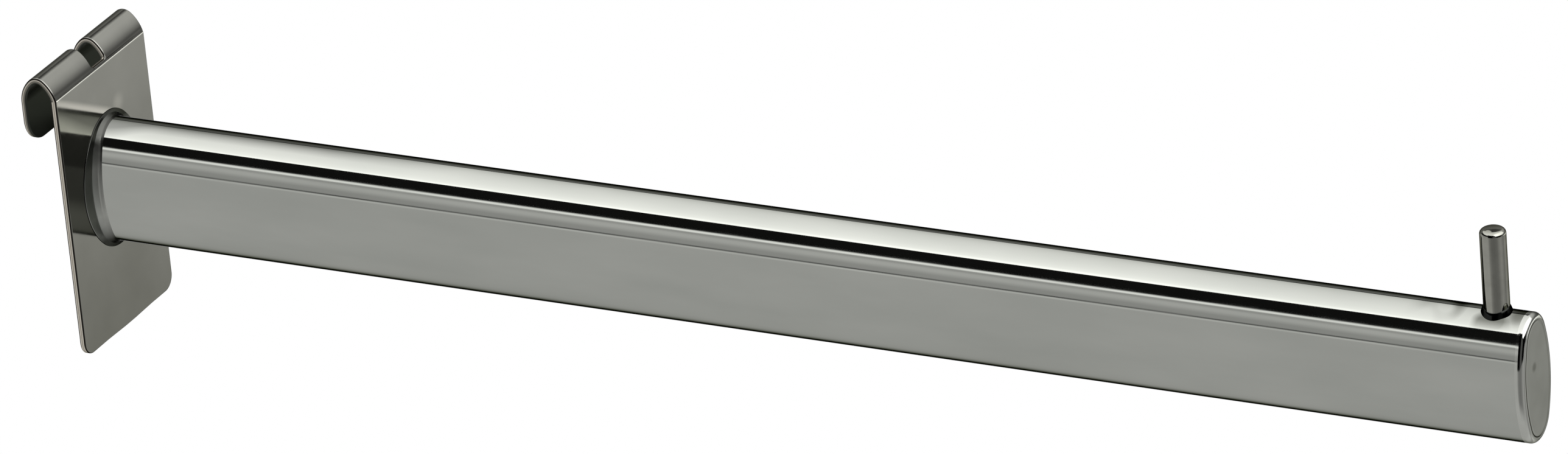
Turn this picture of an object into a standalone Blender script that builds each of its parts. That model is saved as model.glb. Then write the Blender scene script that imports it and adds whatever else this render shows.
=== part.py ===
"""Gridwall hook: a flat-oval arm welded to a folded back plate that hangs on grid wires.

The origin is on the back face of the plate, on the arm's axis. +X runs out along the arm,
+Y across the plate and +Z up. All sizes are in metres.
"""

import math

import bmesh
import bpy
from mathutils import Vector

# Back plate and its hook tabs, folded from one sheet
SHEET = 0.0015
PLATE_WIDTH = 0.040
PLATE_DROP = 0.0366
FOLD_HEIGHT = 0.0277
PLATE_CORNER_RADIUS = 0.0035
FOLD_ANGLE = math.radians(14)
FRONT_BEND_RADIUS = 0.0086
FRONT_BEND_END = math.radians(50)
TOP_BEND_RADIUS = 0.0029
TOP_BEND_END = math.radians(130)
REAR_BEND_RADIUS = 0.0077
TAB_TAIL = 0.0106
TAB_OUTER_RADIUS = 0.006
TAB_INNER_RADIUS = 0.002
NOTCH_WIDTH = 0.006
NOTCH_LIP = 0.0008
NOTCH_CORNER_RADIUS = 0.0008

# Arm: a flat-oval tube with a disc welded flush into its free end
ARM_LENGTH = 0.350
TUBE_WIDTH = 0.016
TUBE_HEIGHT = 0.030
TUBE_END_RADIUS = 0.0064
TUBE_WALL = 0.0015
CAP_THICKNESS = 0.002
CAP_RIM_RADIUS = 0.0011
ARM_WELD_HEIGHT = 0.0025
ARM_WELD_SIDE = 0.0042
ARM_WELD_END = 0.0012

# Stop pin, set through the tube's crown and welded there
PIN_DIAMETER = 0.0058
PIN_RISE = 0.0192
PIN_SETBACK = 0.0086
PIN_DEPTH = 0.0025
PIN_CHAMFER = 0.0004
PIN_WELD_HEIGHT = 0.0012
PIN_WELD_FOOT = 0.0008
PIN_WELD_CREST = 0.00015

# Running gap kept between pieces that curve round each other
FIT_GAP = 0.00025

# Facets on curved forms
SIDE_SEGMENTS = 10
END_SEGMENTS = 24
ROUND_SEGMENTS = 40
CORNER_SEGMENTS = 8
BEND_STEP = math.radians(5.5)
FILLET_SEGMENTS = 6
FINEST_STEP = 0.00001

PLATE_FRONT = SHEET
ARM_END = PLATE_FRONT + ARM_LENGTH
TUBE_END = ARM_END - CAP_THICKNESS
CROWN = TUBE_HEIGHT / 2
PIN_X = ARM_END - PIN_SETBACK
PIN_RADIUS = PIN_DIAMETER / 2
PIN_HOLE_RADIUS = PIN_RADIUS + FIT_GAP


def clear_scene():
    """Remove whatever the opened file holds."""
    for thing in list(bpy.data.objects):
        bpy.data.objects.remove(thing, do_unlink=True)


def metal(name, colour, roughness):
    """A Principled metal with one colour and one roughness."""
    material = bpy.data.materials.new(name)
    material.use_nodes = True
    shader = material.node_tree.nodes["Principled BSDF"]
    shader.inputs["Base Color"].default_value = (*colour, 1.0)
    shader.inputs["Metallic"].default_value = 1.0
    shader.inputs["Roughness"].default_value = roughness
    return material


def new_object(name, mesh_builder, material, parent, location=(0, 0, 0)):
    """Turn a finished bmesh into a named object, placed under its parent."""
    bmesh.ops.recalc_face_normals(mesh_builder, faces=mesh_builder.faces)
    mesh = bpy.data.meshes.new(name)
    mesh_builder.to_mesh(mesh)
    mesh_builder.free()
    mesh.materials.append(material)
    mesh.shade_smooth()
    mesh.set_sharp_from_angle(angle=math.radians(30))
    piece = bpy.data.objects.new(name, mesh)
    piece.location = location
    piece.parent = parent
    bpy.context.scene.collection.objects.link(piece)
    return piece


def cut_with(piece, name, mesh_builder, location):
    """Cut a piece with a hidden solid through an exact Boolean."""
    cutter = new_object(name, mesh_builder, piece.data.materials[0], piece.parent, location)
    cutter.hide_render = True
    cutter.display_type = "WIRE"
    boolean = piece.modifiers.new(name, "BOOLEAN")
    boolean.operation = "DIFFERENCE"
    boolean.solver = "EXACT"
    boolean.object = cutter


def loft(rings, closed_path=False):
    """Skin a run of closed rings that have equal counts of points.

    The end rings are capped, or joined to each other when the path itself is closed.
    """
    builder = bmesh.new()
    vertices = [[builder.verts.new(point) for point in ring] for ring in rings]
    pairs = list(zip(vertices, vertices[1:]))
    if closed_path:
        pairs.append((vertices[-1], vertices[0]))
    for ring, following in pairs:
        for index in range(len(ring)):
            after = (index + 1) % len(ring)
            builder.faces.new((ring[index], ring[after], following[after], following[index]))
    if not closed_path:
        builder.faces.new(reversed(vertices[0]))
        builder.faces.new(vertices[-1])
    return builder


def flat_oval(x, width, height, end_radius, grow=0.0):
    """Points of an upright oval of four arcs at one station along the arm.

    A small arc turns over each end and a wide arc, tangent to both, bows each side.
    A positive grow sets the whole outline outward by that distance.
    """
    end_height = height / 2 - end_radius
    spread = width / 2 - end_radius
    side_radius = end_radius + (end_height**2 + spread**2) / (2 * spread)
    side_centre = side_radius - width / 2
    side_angle = math.atan2(end_height, side_centre)
    points = []
    for side in (1, -1):
        for step in range(SIDE_SEGMENTS):
            angle = side_angle * (2 * step / SIDE_SEGMENTS - 1)
            y = (side_radius + grow) * math.cos(angle) - side_centre
            z = (side_radius + grow) * math.sin(angle)
            points.append(Vector((x, side * y, side * z)))
        for step in range(END_SEGMENTS):
            angle = side_angle + (math.pi - 2 * side_angle) * step / END_SEGMENTS
            y = (end_radius + grow) * math.cos(angle)
            z = end_height + (end_radius + grow) * math.sin(angle)
            points.append(Vector((x, side * y, side * z)))
    return points


def tube_outline(x, grow=0.0):
    """The tube's outer outline, or one set in or out from it."""
    return flat_oval(x, TUBE_WIDTH, TUBE_HEIGHT, TUBE_END_RADIUS, grow)


def circle(z, radius):
    """Points of a level circle round the pin's axis."""
    angles = [2 * math.pi * step / ROUND_SEGMENTS for step in range(ROUND_SEGMENTS)]
    return [Vector((radius * math.cos(angle), radius * math.sin(angle), z)) for angle in angles]


class Fold:
    """The side view of the folded sheet, followed along its outer face.

    Distance is measured from the plate's lower edge. The heading is 0 where the sheet
    runs straight up, and grows as it turns back over the wire until it runs straight down.
    """

    def __init__(self):
        bends = (
            (FRONT_BEND_RADIUS, FOLD_ANGLE, FRONT_BEND_END),
            (TOP_BEND_RADIUS, FRONT_BEND_END, TOP_BEND_END),
            (REAR_BEND_RADIUS, TOP_BEND_END, math.pi),
        )
        self.crease = PLATE_DROP + FOLD_HEIGHT
        self.runs = []
        corner = Vector((PLATE_FRONT, 0, -PLATE_DROP))
        self.runs.append((0.0, self.crease, corner, 0.0, None))
        start = self.crease
        corner = Vector((PLATE_FRONT, 0, FOLD_HEIGHT))
        for radius, heading, end in bends:
            length = radius * (end - heading)
            self.runs.append((start, length, corner, heading, radius))
            start += length
            corner = corner + self.arc_chord(radius, heading, end)
        self.runs.append((start, TAB_TAIL, corner, math.pi, None))
        self.length = start + TAB_TAIL

    @staticmethod
    def arc_chord(radius, heading, end):
        """Travel between two headings on a bend of one radius."""
        back = math.cos(heading) - math.cos(end)
        rise = math.sin(end) - math.sin(heading)
        return Vector((-radius * back, 0, radius * rise))

    def stations(self):
        """Distances at which the sheet turns: the crease and steps along each bend."""
        marks = [self.crease]
        for start, length, _, _, radius in self.runs:
            if radius:
                steps = max(2, round(length / radius / BEND_STEP))
                marks += [start + length * step / steps for step in range(steps + 1)]
        return marks

    def place(self, distance, depth):
        """Fold a point of the flat blank, depth being measured in from the outer face."""
        if abs(distance - self.crease) < FINEST_STEP:
            half = FOLD_ANGLE / 2
            inward = Vector((-math.cos(half), 0, -math.sin(half))) / math.cos(half)
            return Vector((PLATE_FRONT, 0, FOLD_HEIGHT)) + inward * depth
        reached = [run for run in self.runs if run[0] <= distance]
        start, _, corner, heading, radius = reached[-1]
        travelled = distance - start
        if radius:
            heading_here = heading + travelled / radius
            point = corner + self.arc_chord(radius, heading, heading_here)
        else:
            heading_here = heading
            point = corner + Vector((-math.sin(heading), 0, math.cos(heading))) * travelled
        inward = Vector((-math.cos(heading_here), 0, -math.sin(heading_here)))
        return point + inward * depth


def corner_stations(edge, radius, direction):
    """Distances at which a rounded corner is sampled, from the edge it starts at."""
    steps = range(CORNER_SEGMENTS + 1)
    angles = [math.pi / 2 * step / CORNER_SEGMENTS for step in steps]
    return [edge + direction * radius * (1 - math.cos(angle)) for angle in angles]


def corner_setback(depth, radius):
    """How far a rounded corner stands in from its straight side at a depth from the edge."""
    if depth >= radius:
        return 0.0
    return radius - math.sqrt(max(0.0, radius**2 - (radius - max(0.0, depth)) ** 2))


def back_plate(material, parent):
    """The blank is cut flat with its notch and rounded corners, then folded."""
    fold = Fold()
    notch_start = fold.crease + NOTCH_LIP
    marks = fold.stations()
    marks += corner_stations(0.0, PLATE_CORNER_RADIUS, 1)
    marks += corner_stations(notch_start, NOTCH_CORNER_RADIUS, 1)
    marks += corner_stations(fold.length, TAB_OUTER_RADIUS, -1)
    marks += corner_stations(fold.length, TAB_INNER_RADIUS, -1)
    stations = [fold.crease, notch_start]
    for mark in marks:
        if min(abs(mark - station) for station in stations) > FINEST_STEP:
            stations.append(mark)
    stations.sort()

    def half_width(distance):
        lower = corner_setback(distance, PLATE_CORNER_RADIUS)
        upper = corner_setback(fold.length - distance, TAB_OUTER_RADIUS)
        return PLATE_WIDTH / 2 - lower - upper

    def half_notch(distance):
        closed_end = corner_setback(distance - notch_start, NOTCH_CORNER_RADIUS)
        open_end = corner_setback(fold.length - distance, TAB_INNER_RADIUS)
        return NOTCH_WIDTH / 2 - closed_end + open_end

    builder = bmesh.new()
    rows = []
    for distance in stations:
        outer = half_width(distance)
        inner = half_notch(distance)
        across = (-outer, -inner, inner, outer)
        rows.append([builder.verts.new((distance, y, 0.0)) for y in across])
    for distance, lower, upper in zip(stations, rows, rows[1:]):
        strips = (0, 1, 2) if distance < notch_start - 1e-9 else (0, 2)
        for strip in strips:
            corners = (lower[strip], lower[strip + 1], upper[strip + 1], upper[strip])
            builder.faces.new(corners)
    thick = bmesh.ops.extrude_face_region(builder, geom=list(builder.faces))
    for vertex in thick["geom"]:
        if isinstance(vertex, bmesh.types.BMVert):
            vertex.co.z = SHEET
    for vertex in builder.verts:
        distance, y, depth = vertex.co
        nearest = min(stations, key=lambda station: abs(station - distance))
        folded = fold.place(nearest, depth)
        vertex.co = (folded.x, y, folded.z)
    return new_object("back_plate", builder, material, parent)


def arm_tube(material, parent):
    """A drawn flat-oval tube, open at both ends, with a hole in its crown for the pin."""
    length = TUBE_END - PLATE_FRONT
    rings = [
        tube_outline(0),
        tube_outline(length),
        tube_outline(length, -TUBE_WALL),
        tube_outline(0, -TUBE_WALL),
    ]
    tube = new_object("arm_tube", loft(rings, True), material, parent, (PLATE_FRONT, 0, 0))
    hole = loft([circle(-2 * TUBE_WALL, PIN_HOLE_RADIUS), circle(TUBE_WALL, PIN_HOLE_RADIUS)])
    cut_with(tube, "pin_hole", hole, (PIN_X, 0, CROWN))
    return tube


def end_cap(material, parent):
    """A flat-oval disc, flush with the tube, whose outer rim is rounded over."""
    rings = [tube_outline(0)]
    for step in range(FILLET_SEGMENTS + 1):
        angle = math.pi / 2 * step / FILLET_SEGMENTS
        x = CAP_THICKNESS - CAP_RIM_RADIUS * (1 - math.sin(angle))
        inset = CAP_RIM_RADIUS * (1 - math.cos(angle))
        rings.append(tube_outline(x, -inset))
    return new_object("end_cap", loft(rings), material, parent, (TUBE_END, 0, 0))


def arm_weld(material, parent):
    """A hollow-faced fillet bead round the tube, seated on the plate.

    It is laid wider along the tube's two sides than over its crown and under it.
    """
    crest = 2 * FIT_GAP
    rings = [tube_outline(0, FIT_GAP)]
    for step in range(FILLET_SEGMENTS + 1):
        angle = math.pi / 2 * step / FILLET_SEGMENTS
        x = ARM_WELD_HEIGHT * (1 - math.cos(angle))
        spread = 1 - math.sin(angle)
        width = TUBE_WIDTH + 2 * ARM_WELD_SIDE * spread
        height = TUBE_HEIGHT + 2 * ARM_WELD_END * spread
        end_radius = TUBE_END_RADIUS * width / TUBE_WIDTH
        rings.append(flat_oval(x, width, height, end_radius, crest))
    rings.append(tube_outline(ARM_WELD_HEIGHT, FIT_GAP))
    return new_object("arm_weld", loft(rings, True), material, parent, (PLATE_FRONT, 0, 0))


def stop_pin(material, parent):
    """A cut rod with a lightly broken top edge."""
    rings = [
        circle(-PIN_DEPTH, PIN_RADIUS),
        circle(PIN_RISE - PIN_CHAMFER, PIN_RADIUS),
        circle(PIN_RISE, PIN_RADIUS - PIN_CHAMFER),
    ]
    return new_object("stop_pin", loft(rings), material, parent, (PIN_X, 0, CROWN))


def pin_weld(material, parent):
    """A small flared bead round the pin, whose underside follows the tube's crown."""
    skirt = -CROWN / 4
    rings = [circle(skirt, PIN_HOLE_RADIUS), circle(skirt, PIN_RADIUS + PIN_WELD_FOOT)]
    for step in range(FILLET_SEGMENTS + 1):
        angle = math.pi / 2 * step / FILLET_SEGMENTS
        flare = (PIN_WELD_FOOT - FIT_GAP - PIN_WELD_CREST) * (1 - math.sin(angle))
        z = PIN_WELD_HEIGHT * (1 - math.cos(angle))
        rings.append(circle(z, PIN_HOLE_RADIUS + PIN_WELD_CREST + flare))
    rings.append(circle(PIN_WELD_HEIGHT, PIN_HOLE_RADIUS))
    bead = new_object("pin_weld", loft(rings, True), material, parent, (PIN_X, 0, CROWN))
    reach = 2 * PIN_DIAMETER
    seat = loft([tube_outline(-reach, FIT_GAP), tube_outline(reach, FIT_GAP)])
    cut_with(bead, "crown_seat", seat, (PIN_X, 0, 0))
    return bead


clear_scene()
hook = bpy.data.objects.new("gridwall_hook", None)
bpy.context.scene.collection.objects.link(hook)

back_plate(metal("sheet_chrome", (0.56, 0.56, 0.53), 0.14), hook)
arm_tube(metal("tube_chrome", (0.62, 0.63, 0.60), 0.08), hook)
end_cap(metal("cap_chrome", (0.56, 0.56, 0.54), 0.10), hook)
arm_weld(metal("arm_weld_chrome", (0.42, 0.42, 0.40), 0.22), hook)
stop_pin(metal("pin_chrome", (0.55, 0.55, 0.52), 0.16), hook)
pin_weld(metal("pin_weld_chrome", (0.42, 0.42, 0.40), 0.22), hook)
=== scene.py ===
import math

import bmesh
import bpy
from mathutils import Matrix, Vector


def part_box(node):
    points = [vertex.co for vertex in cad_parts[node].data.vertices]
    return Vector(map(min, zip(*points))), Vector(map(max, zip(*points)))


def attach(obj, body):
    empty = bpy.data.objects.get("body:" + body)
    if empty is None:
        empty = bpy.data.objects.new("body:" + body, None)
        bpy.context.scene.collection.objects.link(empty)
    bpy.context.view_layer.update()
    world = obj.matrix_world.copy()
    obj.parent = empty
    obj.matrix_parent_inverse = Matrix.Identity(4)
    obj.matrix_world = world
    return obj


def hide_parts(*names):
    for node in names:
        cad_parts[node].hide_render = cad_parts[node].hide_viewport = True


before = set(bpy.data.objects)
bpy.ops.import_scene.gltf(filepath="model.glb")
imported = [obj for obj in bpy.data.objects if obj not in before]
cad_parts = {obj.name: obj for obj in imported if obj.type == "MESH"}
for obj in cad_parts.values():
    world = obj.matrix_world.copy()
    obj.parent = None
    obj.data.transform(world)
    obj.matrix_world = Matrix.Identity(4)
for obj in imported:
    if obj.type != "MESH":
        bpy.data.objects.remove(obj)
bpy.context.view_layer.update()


# Camera
# It stands where the photograph was taken, far off to the near side of the free end, and looks
# about 25 degrees down through a long lens. Its lens and sensor are in millimetres.
MM = 0.001
CAMERA_PLACE = Vector((1137.93, -1768.51, 953.54)) * MM
CAMERA_AIM = Vector((-0.433761, 0.795160, -0.423760))
CAMERA_ROLL = math.radians(-5.09)
CAMERA_LENS = 232.76
CAMERA_SENSOR = 36.0
NEAREST_SEEN = 0.1
FURTHEST_SEEN = 60.0

camera_lens = bpy.data.cameras.new("photo_camera")
camera_lens.lens = CAMERA_LENS
camera_lens.sensor_width = CAMERA_SENSOR
camera_lens.clip_start = NEAREST_SEEN
camera_lens.clip_end = FURTHEST_SEEN
camera = bpy.data.objects.new("photo_camera", camera_lens)
bpy.context.scene.collection.objects.link(camera)
camera_turn = CAMERA_AIM.to_track_quat("-Z", "Y").to_matrix() @ Matrix.Rotation(CAMERA_ROLL, 3, "Z")
camera.matrix_world = Matrix.Translation(CAMERA_PLACE) @ camera_turn.to_4x4()
bpy.context.scene.camera = camera
bpy.context.scene.view_settings.view_transform = "Standard"


# Back plate and hook tabs
# One blank of 1.5 mm cold-rolled sheet, punched with its notch and rounded corners, folded back
# over the grid wire in three bends, then barrel-finished and chromed.
SHEET = 1.5 * MM
PLATE_DROP = 36.6 * MM
FOLD_HEIGHT = 27.7 * MM
PLATE_CORNER = 3.5 * MM
CREASE_RADIUS = 1.6 * MM
CREASE_ANGLE = math.radians(14)
TAB_TAIL = 10.6 * MM
TAB_OUTER_CORNER = 6.0 * MM
TAB_INNER_CORNER = 2.0 * MM
NOTCH_WIDTH = 6.0 * MM
NOTCH_LIP = 0.8 * MM
NOTCH_CORNER = 0.8 * MM
SHEET_EDGE_ROUND = 0.38 * MM
# Each bend's radius over its outer face, and how far the sheet has turned at its end.
BENDS = ((8.45 * MM, math.radians(50)), (2.9 * MM, math.radians(130)), (7.7 * MM, math.pi))

# How finely the blank is drawn, and how its edges are told apart.
CORNER_STEPS = 14
NOTCH_STEPS = 6
TAB_INNER_STEPS = 8
BEND_STEP = math.radians(2)
FEWEST_BEND_STEPS = 4
CLOSEST_MARKS = 0.02 * MM
EDGE_ROUND_STEPS = 3
ROUND_PROFILE = 0.5
RIM_ANGLE = math.radians(60)
SAME_LEVEL = 1e-6
SAME_PLACE = 1e-9
SHARP_CORNER = math.radians(50)
LARGE_FACE_WEIGHT = 60

plate_low, plate_high = (Vector(corner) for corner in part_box("back_plate"))
PLATE_WIDTH = plate_high.y - plate_low.y
PLATE_FRONT = plate_high.x


def node_material(name):
    """An empty node material with its tree, ready for a shader."""
    material = bpy.data.materials.new(name)
    material.use_nodes = True
    tree = material.node_tree
    tree.nodes.clear()
    return material, tree


def add_node(tree, kind, inputs=(), stops=(), **settings):
    """Add one node, set its settings and a ramp's stops, and set or link its inputs.

    Inputs come in their order, or by name or number. A node given as an input stands for its
    first output. Stops are places from 0 to 1 with linear colours.
    """
    node = tree.nodes.new(kind)
    for name, value in settings.items():
        setattr(node, name, value)
    for name, value in inputs.items() if isinstance(inputs, dict) else enumerate(inputs):
        source = value.outputs[0] if isinstance(value, bpy.types.Node) else value
        if isinstance(source, bpy.types.NodeSocket):
            tree.links.new(source, node.inputs[name])
        else:
            node.inputs[name].default_value = source
    if stops:
        ramp = node.color_ramp.elements
        while len(ramp) < len(stops):
            ramp.new(0.5)
        for element, (place, colour) in zip(ramp, stops):
            element.position = place
            element.color = colour
    return node


def hex_colour(code):
    """A linear colour from an sRGB hex value."""
    channels = [int(code[index:index + 2], 16) / 255 for index in (1, 3, 5)]
    linear = [c / 12.92 if c <= 0.04045 else ((c + 0.055) / 1.055) ** 2.4 for c in channels]
    return (*linear, 1.0)


def sheet_runs():
    """The folded sheet's side view as straight and curved runs along its outer face."""
    crease_length = CREASE_RADIUS * CREASE_ANGLE
    flat = PLATE_DROP + FOLD_HEIGHT - crease_length
    stretches = [(None, 0.0, flat), (CREASE_RADIUS, 0.0, crease_length)]
    turned = CREASE_ANGLE
    for radius, end in BENDS:
        stretches.append((radius, turned, radius * (end - turned)))
        turned = end
    stretches.append((None, turned, TAB_TAIL))
    runs = []
    place = Vector((PLATE_FRONT, 0, -PLATE_DROP))
    reached = 0.0
    for radius, heading, length in stretches:
        runs.append((reached, length, place, heading, radius))
        place = follow_run(runs[-1], length)[0]
        reached += length
    return runs


def follow_run(run, travelled):
    """Place and heading at a distance along one run."""
    _, _, place, heading, radius = run
    if radius is None:
        return place + Vector((-math.sin(heading), 0, math.cos(heading))) * travelled, heading
    turned = heading + travelled / radius
    back = math.cos(heading) - math.cos(turned)
    rise = math.sin(turned) - math.sin(heading)
    return place + Vector((-back, 0, rise)) * radius, turned


def fold_point(runs, distance, y, depth):
    """Where a point of the flat blank goes when the blank is folded."""
    run = [run for run in runs if run[0] <= distance + SAME_PLACE][-1]
    place, heading = follow_run(run, distance - run[0])
    inward = Vector((-math.cos(heading), 0, -math.sin(heading)))
    point = place + inward * depth
    return Vector((point.x, y, point.z))


def corner_setback(depth, radius):
    """How far a rounded corner stands in from its straight side."""
    if depth >= radius:
        return 0.0
    return radius - math.sqrt(max(0.0, radius**2 - (radius - max(0.0, depth)) ** 2))


def corner_marks(edge, radius, direction, steps=CORNER_STEPS):
    """Distances at which a rounded corner is drawn."""
    angles = [math.pi / 2 * step / steps for step in range(steps + 1)]
    return [edge + direction * radius * (1 - math.cos(angle)) for angle in angles]


def blank_stations(runs, length, notch_start):
    """Distances along the blank at which it is drawn, for its corners, notch and bends."""
    marks = corner_marks(0.0, PLATE_CORNER, 1)
    marks += corner_marks(notch_start, NOTCH_CORNER, 1, NOTCH_STEPS)
    marks += corner_marks(length, TAB_OUTER_CORNER, -1)
    marks += corner_marks(length, TAB_INNER_CORNER, -1, TAB_INNER_STEPS)
    for start, run_length, _, _, radius in runs:
        if radius:
            steps = max(FEWEST_BEND_STEPS, round(run_length / radius / BEND_STEP))
            marks += [start + run_length * step / steps for step in range(steps + 1)]
    stations = [notch_start]
    for mark in marks:
        if min(abs(mark - station) for station in stations) > CLOSEST_MARKS:
            stations.append(mark)
    return sorted(stations)


def is_rim(edge):
    """Whether an edge of the thick blank lies between a face and the cut side."""
    start, end = edge.verts
    level = abs(start.co.z - end.co.z) < SAME_LEVEL
    return level and len(edge.link_faces) == 2 and edge.calc_face_angle() > RIM_ANGLE


def plain_mesh(name, builder, material):
    """A finished mesh object from a bmesh, smooth and weighted towards its large faces."""
    mesh = bpy.data.meshes.new(name)
    bmesh.ops.recalc_face_normals(builder, faces=builder.faces)
    builder.to_mesh(mesh)
    builder.free()
    mesh.materials.append(material)
    mesh.shade_smooth()
    mesh.set_sharp_from_angle(angle=SHARP_CORNER)
    piece = bpy.data.objects.new(name, mesh)
    bpy.context.scene.collection.objects.link(piece)
    weighting = piece.modifiers.new("even_shading", "WEIGHTED_NORMAL")
    weighting.weight = LARGE_FACE_WEIGHT
    weighting.keep_sharp = True
    evaluated = piece.evaluated_get(bpy.context.evaluated_depsgraph_get())
    finished = bpy.data.meshes.new_from_object(evaluated)
    piece.modifiers.clear()
    piece.data = finished
    finished.name = name
    return piece


def folded_sheet(material):
    """The blank with its edges rounded over, folded on its path.

    Two attributes go with it: the depth from the outer face to the inner one, as a share of the
    thickness, and the hollow, which is 1 on the hook's inner face.
    """
    runs = sheet_runs()
    length = runs[-1][0] + runs[-1][1]
    crease = PLATE_DROP + FOLD_HEIGHT
    notch_start = crease + NOTCH_LIP
    stations = blank_stations(runs, length, notch_start)
    builder = bmesh.new()
    rows = []
    for distance in stations:
        outer = PLATE_WIDTH / 2 - corner_setback(distance, PLATE_CORNER)
        outer -= corner_setback(length - distance, TAB_OUTER_CORNER)
        inner = NOTCH_WIDTH / 2 - corner_setback(distance - notch_start, NOTCH_CORNER)
        inner += corner_setback(length - distance, TAB_INNER_CORNER)
        rows.append([builder.verts.new((distance, y, 0.0)) for y in (-outer, -inner, inner, outer)])
    for distance, lower, upper in zip(stations, rows, rows[1:]):
        strips = (0, 1, 2) if distance < notch_start - SAME_PLACE else (0, 2)
        for strip in strips:
            builder.faces.new((lower[strip], lower[strip + 1], upper[strip + 1], upper[strip]))
    thick = bmesh.ops.extrude_face_region(builder, geom=list(builder.faces))
    for vertex in thick["geom"]:
        if isinstance(vertex, bmesh.types.BMVert):
            vertex.co.z = SHEET
    bmesh.ops.recalc_face_normals(builder, faces=builder.faces)
    bmesh.ops.bevel(
        builder, geom=[edge for edge in builder.edges if is_rim(edge)], affect="EDGES",
        offset=SHEET_EDGE_ROUND, segments=EDGE_ROUND_STEPS, profile=ROUND_PROFILE,
    )
    depth = builder.verts.layers.float.new("depth")
    hollow = builder.verts.layers.float.new("hollow")
    for vertex in builder.verts:
        vertex[depth] = vertex.co.z / SHEET
        vertex[hollow] = float(vertex.co.z > SHEET - SHEET_EDGE_ROUND and vertex.co.x > crease)
        vertex.co = fold_point(runs, vertex.co.x, vertex.co.y, vertex.co.z)
    return plain_mesh("folded_sheet", builder, material)


# All the plating is cloudy. Its film is finer than the clouds by one factor and its ripple by
# another, and the film turns from bright to hazy between two levels of its noise.
CLOUD_DETAIL = 3.0
FILM_FINENESS = 3
FILM_DETAIL = 2.0
FILM_LEVELS = (0.3, 0.7)
RIPPLE_FINENESS = 1.5


def chrome_finish(name, tones, grazing, haze, clouds, stretch, waviness):
    """Bright chrome plate on steel, cloudy in tone, in polish and in flatness.

    Tones are the paler and the duller grey, grazing the tint at a low angle, haze the least and
    most roughness, clouds the size of the clouding, stretch how far it is drawn out along the
    arm, and waviness the height of the ripple that the metal keeps under its plating.
    """
    material, tree = node_material(name)
    place = add_node(tree, "ShaderNodeTexCoord", name="place").outputs["Object"]
    drawn = add_node(tree, "ShaderNodeMapping", {"Vector": place, "Scale": (1 / stretch, 1.0, 1.0)})
    cloud = add_node(tree, "ShaderNodeTexNoise", {
        "Vector": drawn, "Scale": 1 / clouds, "Detail": CLOUD_DETAIL,
    })
    paler, duller = (hex_colour(code) for code in tones)
    tone = add_node(tree, "ShaderNodeMix", {0: cloud, 6: paler, 7: duller}, data_type="RGBA", name="tone")
    film = add_node(tree, "ShaderNodeTexNoise", {
        "Vector": drawn, "Scale": FILM_FINENESS / clouds, "Detail": FILM_DETAIL,
    })
    polish = add_node(tree, "ShaderNodeMapRange", (film, *FILM_LEVELS, *haze), name="polish")
    ripple = add_node(tree, "ShaderNodeTexNoise", {
        "Vector": drawn, "Scale": RIPPLE_FINENESS / clouds, "Detail": 0.0,
    })
    relief = add_node(tree, "ShaderNodeBump", {"Height": ripple, "Distance": waviness, "Strength": 1.0})
    plating = add_node(tree, "ShaderNodeBsdfPrincipled", {
        "Base Color": tone.outputs[2],
        "Metallic": 1.0,
        "Roughness": polish,
        "Specular Tint": hex_colour(grazing),
        "Normal": relief,
    }, name="plating")
    add_node(tree, "ShaderNodeOutputMaterial", {"Surface": plating})
    return material


# A fade says where it starts and where it is full, and then its share at both unless they are 0
# and 1. A soft one eases in and out.
SOFT = {"interpolation_type": "SMOOTHSTEP"}

# Barrel-finished chrome on sheet: a soft mirror in 14 mm clouds, with painted shade towards the foot
# of the plate, a painted highlight on its front above the arm's weld, and painted shade in the hollow
# of the hook, where little plating reaches and the metal is hazier. Its punched edges are satin and pale.
FOOT_FADE = (33 * MM, -37 * MM)
FAR_HALF_FADE = (2 * MM, 18 * MM, 1.0, 0.6)
FOOT_PAINTED_SHADE = "#D2D2CF"
GLINT_SLANT = 0.531
GLINT_TOP = (18.2 * MM, 16.2 * MM)
GLINT_FOOT = (15.4 * MM, 15.9 * MM)
GLINT_SIDE = (5.0 * MM, 1.0 * MM)
GLINT_SPOT = Vector((1.5, 5.6, 16.2)) * MM
GLINT_SPOT_FADE = (3.2 * MM, 0.4 * MM, 0.0, 0.28)
GLINT_FACE = (1.0 * MM, 1.4 * MM)
PAINTED_GLINT_COLOUR = "#B9B7AE"
HOLLOW_PAINTED_SHADE = "#343632"
HOLLOW_HAZE = 0.45
EDGE_HAZE = 0.35
EDGE_FADE = (0.01, 0.05)
# Across the cut edge, from a face to the middle: a dark corner, satin metal and a brown seam. The
# other half mirrors it.
EDGE_BANDS = (
    (0.0, "#848480"), (0.04, "#201E1B"), (0.2, "#201E1B"), (0.27, "#B5B0A5"), (0.4, "#B5B0A5"),
    (0.5, "#6E665B"),
)
edge_stops = [(share, hex_colour(code)) for share, code in EDGE_BANDS]
edge_stops += [(1 - share, colour) for share, colour in reversed(edge_stops[:-1])]

sheet_chrome = chrome_finish(
    "barrel_finished_chrome", tones=("#90908A", "#7F7F79"), grazing="#9A9A96",
    haze=(0.09, 0.13), clouds=14 * MM, stretch=1.0, waviness=0.004 * MM,
)
tree = sheet_chrome.node_tree
plating = tree.nodes["plating"]
place = tree.nodes["place"].outputs["Object"]
outward, aside, rise = add_node(tree, "ShaderNodeSeparateXYZ", (place,)).outputs
# Painted shade: the tone is darkened towards the foot of the plate, less on its far half.
low_down = add_node(tree, "ShaderNodeMapRange", (rise, *FOOT_FADE))
far_half = add_node(tree, "ShaderNodeMapRange", (aside, *FAR_HALF_FADE))
foot_shade = add_node(tree, "ShaderNodeMath", (low_down, far_half), operation="MULTIPLY")
duller = add_node(
    tree, "ShaderNodeMix", {0: foot_shade, 6: tree.nodes["tone"].outputs[2], 7: hex_colour(FOOT_PAINTED_SHADE)},
    data_type="RGBA", blend_type="MULTIPLY",
)
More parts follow.
